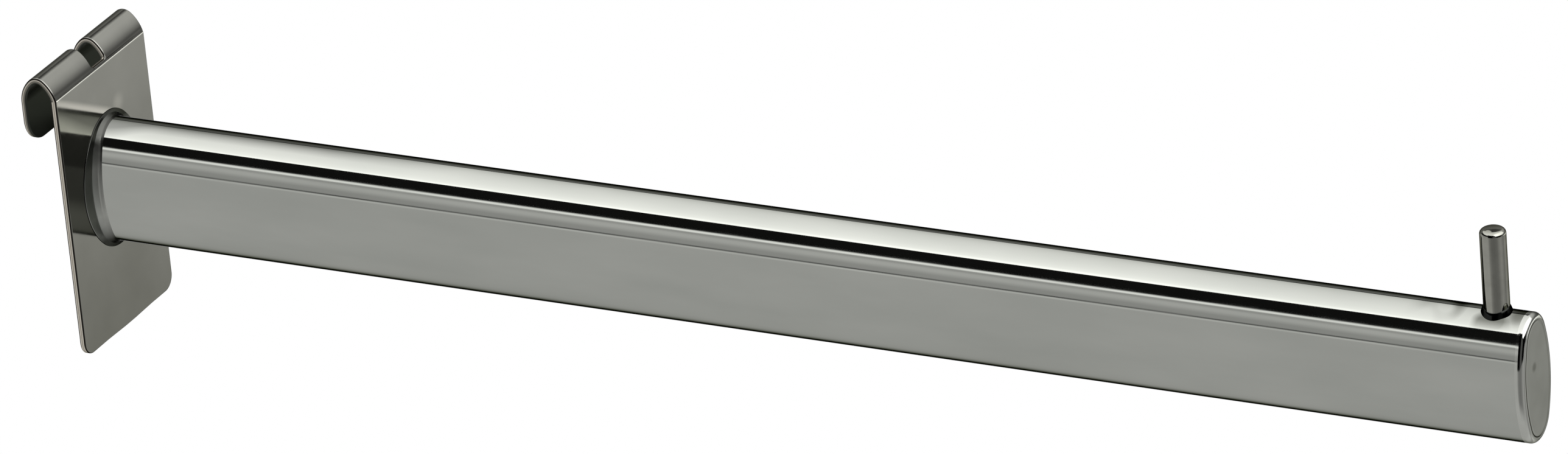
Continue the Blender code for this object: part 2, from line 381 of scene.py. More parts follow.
# Painted highlight: a pale streak slanting over the arm's weld on the plate's front, and a soft spot beside
# it.
slant = add_node(tree, "ShaderNodeMath", (aside, GLINT_SLANT, rise), operation="MULTIPLY_ADD")
glint_top = add_node(tree, "ShaderNodeMapRange", (slant, *GLINT_TOP), **SOFT)
glint_foot = add_node(tree, "ShaderNodeMapRange", (slant, *GLINT_FOOT))
glint_side = add_node(tree, "ShaderNodeMapRange", (aside, *GLINT_SIDE))
streak = add_node(tree, "ShaderNodeMath", (glint_top, glint_foot), operation="MULTIPLY")
near_streak = add_node(tree, "ShaderNodeMath", (streak, glint_side), operation="MULTIPLY")
from_spot = add_node(tree, "ShaderNodeVectorMath", (place, GLINT_SPOT), operation="DISTANCE")
spot = add_node(tree, "ShaderNodeMapRange", (from_spot.outputs[1], *GLINT_SPOT_FADE), **SOFT)
glint_shape = add_node(tree, "ShaderNodeMath", (near_streak, spot), operation="MAXIMUM")
on_front = add_node(tree, "ShaderNodeMapRange", (outward, *GLINT_FACE))
painted_glint = add_node(tree, "ShaderNodeMath", (glint_shape, on_front), operation="MULTIPLY")
lightened = add_node(
    tree, "ShaderNodeMix", {0: painted_glint, 6: duller.outputs[2], 7: hex_colour(PAINTED_GLINT_COLOUR)},
    data_type="RGBA",
)
depth = add_node(tree, "ShaderNodeAttribute", attribute_name="depth").outputs["Fac"]
bands = add_node(tree, "ShaderNodeValToRGB", (depth,), stops=edge_stops)
past_middle = add_node(tree, "ShaderNodeMath", (1.0, depth), operation="SUBTRACT")
from_face = add_node(tree, "ShaderNodeMath", (depth, past_middle), operation="MINIMUM")
on_edge = add_node(tree, "ShaderNodeMapRange", (from_face, *EDGE_FADE))
edged = add_node(
    tree, "ShaderNodeMix", {0: on_edge, 6: lightened.outputs[2], 7: bands}, data_type="RGBA"
)
# Painted shade: the hook's inner face is coloured dark.
hollow = add_node(tree, "ShaderNodeAttribute", attribute_name="hollow").outputs["Fac"]
shaded = add_node(
    tree, "ShaderNodeMix", {0: hollow, 6: edged.outputs[2], 7: hex_colour(HOLLOW_PAINTED_SHADE)},
    data_type="RGBA",
)
tree.links.new(shaded.outputs[2], plating.inputs["Base Color"])
satin = add_node(tree, "ShaderNodeMix", {"Factor": on_edge, "A": tree.nodes["polish"], "B": EDGE_HAZE})
bare = add_node(tree, "ShaderNodeMix", {"Factor": hollow, "A": satin, "B": HOLLOW_HAZE})
tree.links.new(bare.outputs[0], plating.inputs["Roughness"])

sheet = folded_sheet(sheet_chrome)
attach(sheet, "root")
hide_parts("back_plate")
# The room is drawn for one bounce, so this piece would show too dark in its neighbours.
sheet.visible_glossy = False


# Arm tube
# Drawn flat-oval steel tube, 30 mm high and 16 mm wide with gently bowed sides, welded square to
# the plate's front. It is polished before plating, so it mirrors the room sharply.
tube_low, tube_high = (Vector(corner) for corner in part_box("arm_tube"))
TUBE_WIDTH = tube_high.y - tube_low.y
TUBE_HEIGHT = tube_high.z - tube_low.z
TUBE_END_RADIUS = 6.4 * MM
TUBE_WALL = 1.5 * MM
CROWN = tube_high.z
OVAL_SIDE_STEPS = 24
OVAL_END_STEPS = 72

pin_low, pin_high = (Vector(corner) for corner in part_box("stop_pin"))
PIN_RADIUS = (pin_high.x - pin_low.x) / 2
PIN_X = (pin_high.x + pin_low.x) / 2


def flat_oval(x, width, height, end_radius, grow=0.0):
    """Points of an upright oval of four tangent arcs at one station along the arm."""
    end_height = height / 2 - end_radius
    spread = width / 2 - end_radius
    side_radius = end_radius + (end_height**2 + spread**2) / (2 * spread)
    side_centre = side_radius - width / 2
    side_angle = math.atan2(end_height, side_centre)
    points = []
    for side in (1, -1):
        for step in range(OVAL_SIDE_STEPS):
            angle = side_angle * (2 * step / OVAL_SIDE_STEPS - 1)
            y = (side_radius + grow) * math.cos(angle) - side_centre
            z = (side_radius + grow) * math.sin(angle)
            points.append(Vector((x, side * y, side * z)))
        for step in range(OVAL_END_STEPS):
            angle = side_angle + (math.pi - 2 * side_angle) * step / OVAL_END_STEPS
            y = (end_radius + grow) * math.cos(angle)
            z = end_height + (end_radius + grow) * math.sin(angle)
            points.append(Vector((x, side * y, side * z)))
    return points


def tube_outline(x, grow=0.0):
    """The tube's own oval at one station along the arm, grown or shrunk all round."""
    return flat_oval(x, TUBE_WIDTH, TUBE_HEIGHT, TUBE_END_RADIUS, grow)


def skin(rings, closed_path=False):
    """Skin a run of closed rings, capped or joined end to end."""
    builder = bmesh.new()
    vertices = [[builder.verts.new(point) for point in ring] for ring in rings]
    pairs = list(zip(vertices, vertices[1:]))
    if closed_path:
        pairs.append((vertices[-1], vertices[0]))
    for ring, following in pairs:
        for index in range(len(ring)):
            after = (index + 1) % len(ring)
            builder.faces.new((ring[index], ring[after], following[after], following[index]))
    if not closed_path:
        builder.faces.new(reversed(vertices[0]))
        builder.faces.new(vertices[-1])
    return builder


# Mirror-polished chrome: the sharpest reflections, in 9 mm clouds drawn out along the arm. Soft grey
# marks of some 7 mm on the crown about the pin are a painted reflection of the pin, and a strip along
# the crown, which widens towards the plate, is a painted dark reflection.
PIN_FOOT = Vector((PIN_X, 0.0, CROWN))
PIN_IMAGE_REACH = (20 * MM, 4 * MM)
PIN_IMAGE_SIZE = 7 * MM
PIN_IMAGE_DETAIL = 1.0
PIN_IMAGE_LEVELS = (0.42, 0.58)
END_MARK = Vector((348.4, -1.6, 15.0)) * MM
END_MARK_FADE = (4.0 * MM, 0.5 * MM, 0.0, 0.95)
CROWN_FADE = (12 * MM, 14 * MM)
MARK_COLOUR = "#565752"
STRIP_REACH = (95 * MM, 60 * MM, 0.0, 0.5)
STRIP_WIDENING = (16 * MM, 2 * MM, 0.0, 2.4 * MM)
STRIP_NEAR_EDGE = (-3.3 * MM, -0.9 * MM)
STRIP_FAR_EDGE = (0.4 * MM, -0.5 * MM)
STRIP_PAINTED_SHADE = "#0A0A0B"

tube_chrome = chrome_finish(
    "mirror_polished_chrome", tones=("#999A95", "#898B86"), grazing="#383835",
    haze=(0.03, 0.06), clouds=9 * MM, stretch=4.0, waviness=0.002 * MM,
)
tree = tube_chrome.node_tree
place = tree.nodes["place"].outputs["Object"]
along, aside, height = add_node(tree, "ShaderNodeSeparateXYZ", (place,)).outputs
# Painted reflection: grey clouds on the crown about the pin stand in for the pin's mirror image.
from_pin = add_node(tree, "ShaderNodeVectorMath", (place, PIN_FOOT), operation="DISTANCE")
near_pin = add_node(tree, "ShaderNodeMapRange", (from_pin.outputs[1], *PIN_IMAGE_REACH))
pin_image_noise = add_node(tree, "ShaderNodeTexNoise", {
    "Vector": place, "Scale": 1 / PIN_IMAGE_SIZE, "Detail": PIN_IMAGE_DETAIL,
})
pin_image_cloud = add_node(tree, "ShaderNodeMapRange", (pin_image_noise, *PIN_IMAGE_LEVELS))
painted_pin_image = add_node(tree, "ShaderNodeMath", (near_pin, pin_image_cloud), operation="MULTIPLY")
from_end = add_node(tree, "ShaderNodeVectorMath", (place, END_MARK), operation="DISTANCE")
end_mark = add_node(tree, "ShaderNodeMapRange", (from_end.outputs[1], *END_MARK_FADE), **SOFT)
either = add_node(tree, "ShaderNodeMath", (painted_pin_image, end_mark), operation="MAXIMUM")
on_crown = add_node(tree, "ShaderNodeMapRange", (height, *CROWN_FADE))
marks = add_node(tree, "ShaderNodeMath", (either, on_crown), operation="MULTIPLY")
marked = add_node(
    tree, "ShaderNodeMix", {0: marks, 6: tree.nodes["tone"].outputs[2], 7: hex_colour(MARK_COLOUR)},
    data_type="RGBA",
)
# Painted dark reflection: a strip along the crown near the plate, widening towards it.
near_plate = add_node(tree, "ShaderNodeMapRange", (along, *STRIP_REACH))
widening = add_node(tree, "ShaderNodeMapRange", (along, *STRIP_WIDENING), **SOFT)
widened = add_node(tree, "ShaderNodeMath", (aside, widening), operation="ADD")
near_edge = add_node(tree, "ShaderNodeMapRange", (widened, *STRIP_NEAR_EDGE))
far_edge = add_node(tree, "ShaderNodeMapRange", (aside, *STRIP_FAR_EDGE))
across_strip = add_node(tree, "ShaderNodeMath", (near_edge, far_edge), operation="MULTIPLY")
strip = add_node(tree, "ShaderNodeMath", (near_plate, across_strip), operation="MULTIPLY")
strip_painted_dark = add_node(
    tree, "ShaderNodeMix", {0: strip, 6: marked.outputs[2], 7: hex_colour(STRIP_PAINTED_SHADE)},
    data_type="RGBA",
)
tree.links.new(strip_painted_dark.outputs[2], tree.nodes["plating"].inputs["Base Color"])

# The oval is ruled by the direction its surface faces: a unit circle's points are pushed out by
# the side or the end arc's radius, from the centre of that arc, and the ring between the outer
# and the inner oval is drawn out along the arm.
TUBE_SIZES = {
    "Length": tube_high.x - tube_low.x,
    "Width": TUBE_WIDTH,
    "Height": TUBE_HEIGHT,
    "End Radius": TUBE_END_RADIUS,
    "Wall": TUBE_WALL,
}
TUBE_STEPS = 360
MERGE_DISTANCE = 0.001 * MM

draw = bpy.data.node_groups.new("drawn_oval_tube", "GeometryNodeTree")
for name in TUBE_SIZES:
    draw.interface.new_socket(name, in_out="INPUT", socket_type="NodeSocketFloat")
draw.interface.new_socket("Tube", in_out="OUTPUT", socket_type="NodeSocketGeometry")
size = add_node(draw, "NodeGroupInput").outputs
circle = add_node(draw, "GeometryNodeCurvePrimitiveCircle", {"Resolution": TUBE_STEPS, "Radius": 1.0})
facing = add_node(draw, "GeometryNodeInputPosition")
facing_y, facing_z, _ = add_node(draw, "ShaderNodeSeparateXYZ", (facing,)).outputs
half_width = add_node(draw, "ShaderNodeMath", (size["Width"], 0.5), operation="MULTIPLY")
half_height = add_node(draw, "ShaderNodeMath", (size["Height"], 0.5), operation="MULTIPLY")
end_height = add_node(draw, "ShaderNodeMath", (half_height, size["End Radius"]), operation="SUBTRACT")
spread = add_node(draw, "ShaderNodeMath", (half_width, size["End Radius"]), operation="SUBTRACT")
end_square = add_node(draw, "ShaderNodeMath", (end_height, end_height), operation="MULTIPLY")
squares = add_node(draw, "ShaderNodeMath", (spread, spread, end_square), operation="MULTIPLY_ADD")
twice = add_node(draw, "ShaderNodeMath", (spread, 2.0), operation="MULTIPLY")
between = add_node(draw, "ShaderNodeMath", (squares, twice), operation="DIVIDE")
side_radius = add_node(draw, "ShaderNodeMath", (between, size["End Radius"]), operation="ADD")
side_centre = add_node(draw, "ShaderNodeMath", (half_width, side_radius), operation="SUBTRACT")
side_limit = add_node(draw, "ShaderNodeMath", (end_height, between), operation="DIVIDE")
steepness = add_node(draw, "ShaderNodeMath", (facing_z,), operation="ABSOLUTE")
on_end = add_node(draw, "FunctionNodeCompare", (steepness, side_limit), operation="GREATER_THAN")
which_side = add_node(draw, "ShaderNodeMath", (facing_y,), operation="SIGN")
which_end = add_node(draw, "ShaderNodeMath", (facing_z,), operation="SIGN")
side_y = add_node(draw, "ShaderNodeMath", (side_centre, which_side), operation="MULTIPLY")
end_z = add_node(draw, "ShaderNodeMath", (end_height, which_end), operation="MULTIPLY")
radius = add_node(draw, "GeometryNodeSwitch", (on_end, side_radius, size["End Radius"]), input_type="FLOAT")
centre_y = add_node(draw, "GeometryNodeSwitch", (on_end, side_y, 0.0), input_type="FLOAT")
centre_z = add_node(draw, "GeometryNodeSwitch", (on_end, 0.0, end_z), input_type="FLOAT")
centre = add_node(draw, "ShaderNodeCombineXYZ", (centre_y, centre_z))
bore_radius = add_node(draw, "ShaderNodeMath", (radius, size["Wall"]), operation="SUBTRACT")
ovals = add_node(draw, "GeometryNodeJoinGeometry")
for reach in (radius, bore_radius):
    offset = add_node(draw, "ShaderNodeVectorMath", {0: facing, "Scale": reach}, operation="SCALE")
    place = add_node(draw, "ShaderNodeVectorMath", (offset, centre), operation="ADD")
    oval = add_node(draw, "GeometryNodeSetPosition", {"Geometry": circle, "Position": place})
    draw.links.new(oval.outputs[0], ovals.inputs[0])
ring = add_node(draw, "GeometryNodeFillCurve", {"Curve": ovals})
upright = add_node(draw, "GeometryNodeTransform", {
    "Geometry": ring,
    "Translation": (tube_low.x, 0.0, 0.0),
    "Rotation": (math.pi / 2, 0.0, math.pi / 2),
})
arm_way = add_node(draw, "ShaderNodeCombineXYZ", (size["Length"],))
drawn = add_node(draw, "GeometryNodeExtrudeMesh", {
    "Mesh": upright, "Offset": arm_way, "Offset Scale": 1.0, "Individual": False,
})
turned = add_node(draw, "GeometryNodeFlipFaces", (upright,))
ends = add_node(draw, "GeometryNodeJoinGeometry")
for piece in (drawn, turned):
    draw.links.new(piece.outputs[0], ends.inputs[0])
closed = add_node(draw, "GeometryNodeMergeByDistance", {"Geometry": ends, "Distance": MERGE_DISTANCE})
real = add_node(draw, "GeometryNodeRealizeInstances", (closed,))
plated = add_node(draw, "GeometryNodeSetMaterial", {"Geometry": real, "Material": tube_chrome})
add_node(draw, "NodeGroupOutput", (plated,))

tube = bpy.data.objects.new("arm_tube_skin", bpy.data.meshes.new("arm_tube_blank"))
bpy.context.scene.collection.objects.link(tube)
drawing = tube.modifiers.new("drawn_oval_tube", "NODES")
drawing.node_group = draw
for socket in draw.interface.items_tree:
    if socket.in_out == "INPUT":
        drawing[socket.identifier] = TUBE_SIZES[socket.name]
evaluated = tube.evaluated_get(bpy.context.evaluated_depsgraph_get())
tube_mesh = bpy.data.meshes.new_from_object(evaluated)
tube.modifiers.clear()
tube.data = tube_mesh
tube_mesh.name = "arm_tube_skin"
tube_mesh.materials.pop(index=0)
tube_mesh.shade_smooth()
tube_mesh.set_sharp_from_angle(angle=SHARP_CORNER)
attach(tube, "root")
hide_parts("arm_tube")


# End cap
# A steel disc of the tube's own outline, welded over its free end and dressed flush. Its rim is
# rounded over, and a fine groove is left where the face meets the rim.
cap_low, cap_high = (Vector(corner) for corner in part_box("end_cap"))
CAP_RIM = 1.35 * MM
CAP_RIM_STEPS = 16
GROOVE_WIDTH = 0.5 * MM
GROOVE_DEPTH = 0.04 * MM
# The groove's floor, its inner lip and a ring that keeps the face flat, in shares of the groove's
# width and depth.
GROOVE_RINGS = ((0.5, 1.0), (1.0, 0.0), (2.0, 0.0))
# A second ring this close to a flat end keeps the shading of the side straight.
HOLDING_RING = 0.2 * MM

# Chrome over a ground disc: a little duller than the tube, in soft 8 mm clouds. The groove shows
# as a black seam, most on the near side, and the face has one small dark spot.
SEAM_SIDE = (3 * MM, -1 * MM, 0.15, 1.0)
SEAM_COLOUR = "#0C0C0C"
DARK_SPOT = Vector((351.5, -1.6, 3.4)) * MM
DARK_SPOT_FADE = (1.5 * MM, 0.4 * MM, 0.0, 0.35)
DARK_SPOT_COLOUR = "#3E3F3B"

cap_chrome = chrome_finish(
    "plated_disc_chrome", tones=("#A2A39E", "#90918C"), grazing="#8A8A86",
    haze=(0.06, 0.10), clouds=8 * MM, stretch=1.0, waviness=0.006 * MM,
)
tree = cap_chrome.node_tree
place = tree.nodes["place"].outputs["Object"]
aside = add_node(tree, "ShaderNodeSeparateXYZ", (place,)).outputs[1]
seam = add_node(tree, "ShaderNodeAttribute", attribute_name="seam").outputs["Fac"]
near_side = add_node(tree, "ShaderNodeMapRange", (aside, *SEAM_SIDE))
open_seam = add_node(tree, "ShaderNodeMath", (seam, near_side), operation="MULTIPLY")
seamed = add_node(
    tree, "ShaderNodeMix", {0: open_seam, 6: tree.nodes["tone"].outputs[2], 7: hex_colour(SEAM_COLOUR)},
    data_type="RGBA",
)
from_dark_spot = add_node(tree, "ShaderNodeVectorMath", (place, DARK_SPOT), operation="DISTANCE")
dark_spot = add_node(tree, "ShaderNodeMapRange", (from_dark_spot.outputs[1], *DARK_SPOT_FADE), **SOFT)
dark_spotted = add_node(
    tree, "ShaderNodeMix", {0: dark_spot, 6: seamed.outputs[2], 7: hex_colour(DARK_SPOT_COLOUR)},
    data_type="RGBA",
)
tree.links.new(dark_spotted.outputs[2], tree.nodes["plating"].inputs["Base Color"])

cap_rings = [tube_outline(cap_low.x), tube_outline(cap_low.x + HOLDING_RING)]
for step in range(CAP_RIM_STEPS + 1):
    angle = math.pi / 2 * step / CAP_RIM_STEPS
    inset = CAP_RIM * (1 - math.cos(angle))
    cap_rings.append(tube_outline(cap_high.x - CAP_RIM * (1 - math.sin(angle)), -inset))
seam_ring = len(cap_rings)
for inset, depth in GROOVE_RINGS:
    cap_rings.append(tube_outline(cap_high.x - GROOVE_DEPTH * depth, -CAP_RIM - GROOVE_WIDTH * inset))
cap_builder = skin(cap_rings)
cap_builder.verts.ensure_lookup_table()
seam_share = cap_builder.verts.layers.float.new("seam")
ring_size = len(cap_rings[0])
for vertex in cap_builder.verts[seam_ring * ring_size:(seam_ring + 1) * ring_size]:
    vertex[seam_share] = 1.0
cap = plain_mesh("end_cap_skin", cap_builder, cap_chrome)
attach(cap, "root")
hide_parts("end_cap")


# Arm weld
# A MIG fillet run round the tube on the plate and dressed before plating. It stands widest on
# the tube's two sides, and the dressing runs out thinly along the tube.
WELD_SIDE = 5.2 * MM
WELD_END = 1.4 * MM
# Seen in section, from the toe on the plate to the run-out on the tube: how far each corner
# stands off the tube, as a share of the weld's width, and then its height on the plate and the
# radius that rounds it, in millimetres.
WELD_SECTION = (
    (1.0, 0.0, 0.0), (0.99, 0.3, 0.12), (0.44, 0.45, 0.3), (0.04, 1.4, 0.5), (0.0, 2.0, 0.0),
)
WELD_CORNER_STEPS = 10
# A bead's hidden side is sunk into what it is welded to, and its own side stands just proud.
BEAD_SUNK = 0.3 * MM
BEAD_PROUD = 0.02 * MM


def rounded_corners(corners):
    """Points along a run of corners (place along, height, radius), with arcs at the corners."""
    points = [Vector(corners[0][:2])]
    for before, (x, y, radius), after in zip(corners, corners[1:], corners[2:]):
        corner = Vector((x, y))
        back = (Vector(before[:2]) - corner).normalized() * radius
        onward = (Vector(after[:2]) - corner).normalized() * radius
        for step in range(WELD_CORNER_STEPS + 1):
            part = step / WELD_CORNER_STEPS
            points.append(corner + back * (1 - part) ** 2 + onward * part**2)
    points.append(Vector(corners[-1][:2]))
    return points


# Chrome over a dressed bead: satin, because the dressing's scratches show through, with clouds of
# 5 mm. Its toe is paler, it is black in the undercut, and over and under the tube it is darkened
# with painted shade.
TOE_HEIGHT = 0.6 * MM
TOE_COLOUR = "#8A8C87"
UNDERCUT_HEIGHT = 0.25 * MM
OVER_UNDER_SHADE = (6 * MM, 13 * MM, 0.0, 0.85)
UNDERCUT_AND_SHADE_COLOUR = "#1E1E1C"

weld_chrome = chrome_finish(
    "dressed_weld_chrome", tones=("#979893", "#82837E"), grazing="#6A6A66",
    haze=(0.28, 0.36), clouds=5 * MM, stretch=1.0, waviness=0.01 * MM,
)
tree = weld_chrome.node_tree
place = tree.nodes["place"].outputs["Object"]
rise = add_node(tree, "ShaderNodeSeparateXYZ", (place,)).outputs[2]
toe = add_node(tree, "ShaderNodeAttribute", attribute_name="toe").outputs["Fac"]
undercut = add_node(tree, "ShaderNodeAttribute", attribute_name="undercut").outputs["Fac"]
toed = add_node(
    tree, "ShaderNodeMix", {0: toe, 6: tree.nodes["tone"].outputs[2], 7: hex_colour(TOE_COLOUR)},
    data_type="RGBA",
)
# Painted shade: the bead is darkened over and under the tube.
from_axis = add_node(tree, "ShaderNodeMath", (rise,), operation="ABSOLUTE")
over_under_shade = add_node(tree, "ShaderNodeMapRange", (from_axis, *OVER_UNDER_SHADE))
black = add_node(tree, "ShaderNodeMath", (undercut, over_under_shade), operation="MAXIMUM")
undercut_and_shade = add_node(
    tree, "ShaderNodeMix", {0: black, 6: toed.outputs[2], 7: hex_colour(UNDERCUT_AND_SHADE_COLOUR)},
    data_type="RGBA",
)
tree.links.new(undercut_and_shade.outputs[2], tree.nodes["plating"].inputs["Base Color"])

section = [(share * WELD_SIDE / MM, height, radius) for share, height, radius in WELD_SECTION]
weld_rings = [tube_outline(PLATE_FRONT, -BEAD_SUNK)]
for stand_off, height in rounded_corners(section):
    share = stand_off * MM / WELD_SIDE
    width = TUBE_WIDTH + 2 * WELD_SIDE * share
    tall = TUBE_HEIGHT + 2 * WELD_END * share
    end_radius = TUBE_END_RADIUS * width / TUBE_WIDTH
    weld_rings.append(flat_oval(PLATE_FRONT + height * MM, width, tall, end_radius, BEAD_PROUD))
weld_rings.append(tube_outline(PLATE_FRONT + WELD_SECTION[-1][1] * MM, -BEAD_SUNK))
weld_builder = skin(weld_rings, True)
toe_share = weld_builder.verts.layers.float.new("toe")
undercut_share = weld_builder.verts.layers.float.new("undercut")
for vertex in weld_builder.verts:
    vertex[toe_share] = float(vertex.co.x < PLATE_FRONT + TOE_HEIGHT)
    vertex[undercut_share] = float(vertex.co.x < PLATE_FRONT + UNDERCUT_HEIGHT)
arm_weld = plain_mesh("arm_weld_bead", weld_builder, weld_chrome)
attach(arm_weld, "root")
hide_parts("arm_weld")
# Left out of its neighbours' mirror images, as the sheet is.
arm_weld.visible_glossy = False


# Stop pin
# A length of round steel bar, set through a hole in the crown and welded round its foot. A file
# rounded its top edge and left the top slightly domed.
PIN_EDGE_ROUND = 1.1 * MM
PIN_EDGE_STEPS = 8
PIN_DOME = 0.12 * MM
PIN_DOME_STEPS = 16
BAR_STEPS = 144


def ring_round_pin(radius, z):
    """A level circle of points about the pin's axis."""
    angles = [2 * math.pi * step / BAR_STEPS for step in range(BAR_STEPS)]
    return [Vector((PIN_X + radius * math.cos(a), radius * math.sin(a), z)) for a in angles]


# Plated bar: greyer than the tube and a little hazy, in 3 mm clouds.
pin_chrome = chrome_finish(
    "plated_bar_chrome", tones=("#8C8C85", "#76766F"), grazing="#8A8A84",
    haze=(0.05, 0.10), clouds=3 * MM, stretch=1.0, waviness=0.002 * MM,
)
pin_rings = [ring_round_pin(PIN_RADIUS, z) for z in (pin_low.z, pin_low.z + HOLDING_RING)]
edge_z = pin_high.z - PIN_DOME
for step in range(PIN_EDGE_STEPS + 1):
    angle = math.pi / 2 * step / PIN_EDGE_STEPS
    z = edge_z - PIN_EDGE_ROUND * (1 - math.sin(angle))
    pin_rings.append(ring_round_pin(PIN_RADIUS - PIN_EDGE_ROUND * (1 - math.cos(angle)), z))
for step in range(1, PIN_DOME_STEPS):
    reach = 1 - step / PIN_DOME_STEPS
    z = pin_high.z - PIN_DOME * reach**2
    pin_rings.append(ring_round_pin((PIN_RADIUS - PIN_EDGE_ROUND) * reach, z))
pin = plain_mesh("stop_pin_bar", skin(pin_rings), pin_chrome)
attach(pin, "root")
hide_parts("stop_pin")
# Left out of its neighbours' mirror images, as the sheet is.
pin.visible_glossy = False


# Pin weld
# A small steep cone of weld metal that fills the corner between the pin and the crown, with a
# crisp edge where it was scraped off the tube.
collar_low, collar_high = (Vector(corner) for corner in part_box("pin_weld"))
COLLAR_HEIGHT = collar_high.z - CROWN
COLLAR_FLARE = (collar_high.x - collar_low.x) / 2 - PIN_RADIUS
# The cone's slope from its edge up to the pin, in shares of its flare and height.
COLLAR_SLOPE = ((0.75, 0.3), (0.5, 0.6), (0.2, 0.92))


def crown_height(y):
    """Height of the tube's crown above a place across the arm."""
    return CROWN - TUBE_END_RADIUS + math.sqrt(TUBE_END_RADIUS**2 - y**2)


# Scraped weld: painted near black as shade in the corner between pin and crown, with clouds of 2 mm.
pin_weld_chrome = chrome_finish(
    "shaded_pin_weld_chrome", tones=("#262725", "#1A1B1A"), grazing="#303030",
    haze=(0.10, 0.2), clouds=2 * MM, stretch=1.0, waviness=0.01 * MM,
)
# How far each ring stands off the pin, and its height over the crown.
collar_section = [
    (-BEAD_SUNK, -BEAD_SUNK),
    (COLLAR_FLARE, -BEAD_SUNK),
    (COLLAR_FLARE, BEAD_PROUD),
    *((COLLAR_FLARE * out, COLLAR_HEIGHT * up) for out, up in COLLAR_SLOPE),
    (BEAD_PROUD, COLLAR_HEIGHT),
    (-BEAD_SUNK, COLLAR_HEIGHT),
]
collar_rings = []
for stand_off, rise in collar_section:
    ring = ring_round_pin(PIN_RADIUS + stand_off, 0)
    collar_rings.append([Vector((p.x, p.y, crown_height(p.y) + rise)) for p in ring])
pin_weld = plain_mesh("pin_weld_bead", skin(collar_rings, True), pin_weld_chrome)
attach(pin_weld, "root")
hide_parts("pin_weld")


# Studio
# A white floor far below, a wide softbox overhead, a light strip low on the left and a dark room
# beyond: what bright chrome mirrors in front of a white backdrop. Lengths are in metres, and a
# brightness of 1 is white.
FLOOR_DEPTH = 1.2
FLOOR_REACH = 9.0
FLOOR_SIDES = 96
BRIGHTEST = 4.0

floor_mesh = bpy.data.meshes.new("floor")
floor_builder = bmesh.new()
bmesh.ops.create_circle(floor_builder, cap_ends=True, segments=FLOOR_SIDES, radius=FLOOR_REACH)
floor_builder.to_mesh(floor_mesh)
floor_builder.free()
floor = bpy.data.objects.new("floor", floor_mesh)
floor.location = (PIN_X, 0, -FLOOR_DEPTH)
bpy.context.scene.collection.objects.link(floor)

# Brightness of the floor by bearing, in degrees from the arm's direction: dim towards the camera
# and off the far side, brightest behind the plate.
FLOOR_BEARINGS = (
    (-180, 1.3), (-160, 1.1), (-145, 1.0), (-122, 1.0), (-112, 1.0), (-98, 0.62), (-82, 0.45),
    (-58, 0.42), (-35, 0.48), (-18, 0.7), (-2, 0.85), (12, 0.75), (28, 0.55), (45, 1.0), (62, 1.15),
    (77, 0.85), (94, 0.42), (115, 0.35), (150, 0.8), (168, 1.2), (180, 1.3),
)
# Brightness just below the object, across the arm from the near side to the far side.
FLOOR_BELOW = (
    (-1.0, 1.0), (-0.3, 1.02), (0.0, 1.15), (0.3, 1.2), (0.45, 0.92), (0.7, 0.92), (0.85, 1.7),
    (1.0, 1.7),
)
EACH_WAY = (-1.0, 1.0)
FAR_OFF = (0.9, 1.8)
# The floor ends in the dark past a slanting line off the free end, and only on the near side.
DARK_SLANT = 0.54
DARK_START = (5.2, 5.8)
DARK_SIDE = (-0.1, -0.6)
# A lit stretch of the floor, off to the far side of the free end.
LIT_FLOOR = 3.2
LIT_FROM_X = (0.3, 1.0)
LIT_FROM_Y = (2.9, 3.2)


def grey_stops(levels, span):
    """A ramp's stops for brightness at places over a span that has zero at its middle."""
    stops = []
    for place, level in levels:
        share = level / BRIGHTEST
        stops.append((place / span + 0.5, (share, share, share, 1.0)))
    return stops


# White matt floor paint: plain white to the eye, and in mirrors painted with light and shade by bearing and
# place.
floor_paint, tree = node_material("white_floor_paint")
place = add_node(tree, "ShaderNodeTexCoord").outputs["Object"]
floor_x, floor_y, _ = add_node(tree, "ShaderNodeSeparateXYZ", (place,)).outputs
bearing = add_node(tree, "ShaderNodeTexGradient", (place,), gradient_type="RADIAL").outputs["Fac"]
bearing_ramp = add_node(tree, "ShaderNodeValToRGB", (bearing,), stops=grey_stops(FLOOR_BEARINGS, 360))
outer = add_node(tree, "ShaderNodeMath", (bearing_ramp, BRIGHTEST), operation="MULTIPLY")
below = add_node(tree, "ShaderNodeMapRange", (floor_y, *EACH_WAY))
below_ramp = add_node(tree, "ShaderNodeValToRGB", (below,), stops=grey_stops(FLOOR_BELOW, 2))
inner = add_node(tree, "ShaderNodeMath", (below_ramp, BRIGHTEST), operation="MULTIPLY")
away = add_node(tree, "ShaderNodeVectorMath", (place,), operation="LENGTH")
far_off = add_node(tree, "ShaderNodeMapRange", (away.outputs[1], *FAR_OFF), **SOFT)
paved = add_node(tree, "ShaderNodeMix", {"Factor": far_off, "A": inner, "B": outer})
dark_line = add_node(tree, "ShaderNodeMath", (floor_y, DARK_SLANT, floor_x), operation="MULTIPLY_ADD")
dark_start = add_node(tree, "ShaderNodeMapRange", (dark_line, *DARK_START))
dark_side = add_node(tree, "ShaderNodeMapRange", (floor_y, *DARK_SIDE))
dark = add_node(tree, "ShaderNodeMath", (dark_start, dark_side), operation="MULTIPLY")
ended = add_node(tree, "ShaderNodeMix", {"Factor": dark, "A": paved, "B": 0.0})
lit_x = add_node(tree, "ShaderNodeMapRange", (floor_x, *LIT_FROM_X), **SOFT)
lit_y = add_node(tree, "ShaderNodeMapRange", (floor_y, *LIT_FROM_Y), **SOFT)
lit = add_node(tree, "ShaderNodeMath", (lit_x, lit_y), operation="MULTIPLY")
mirrored = add_node(tree, "ShaderNodeMix", {"Factor": lit, "A": ended, "B": LIT_FLOOR})
path = add_node(tree, "ShaderNodeLightPath").outputs
shown = add_node(tree, "ShaderNodeMix", {"Factor": path["Is Camera Ray"], "A": mirrored, "B": 1.0})
matt = add_node(tree, "ShaderNodeBsdfDiffuse", {"Color": hex_colour("#F2F2F2")})
bright = add_node(tree, "ShaderNodeEmission", {"Strength": shown})
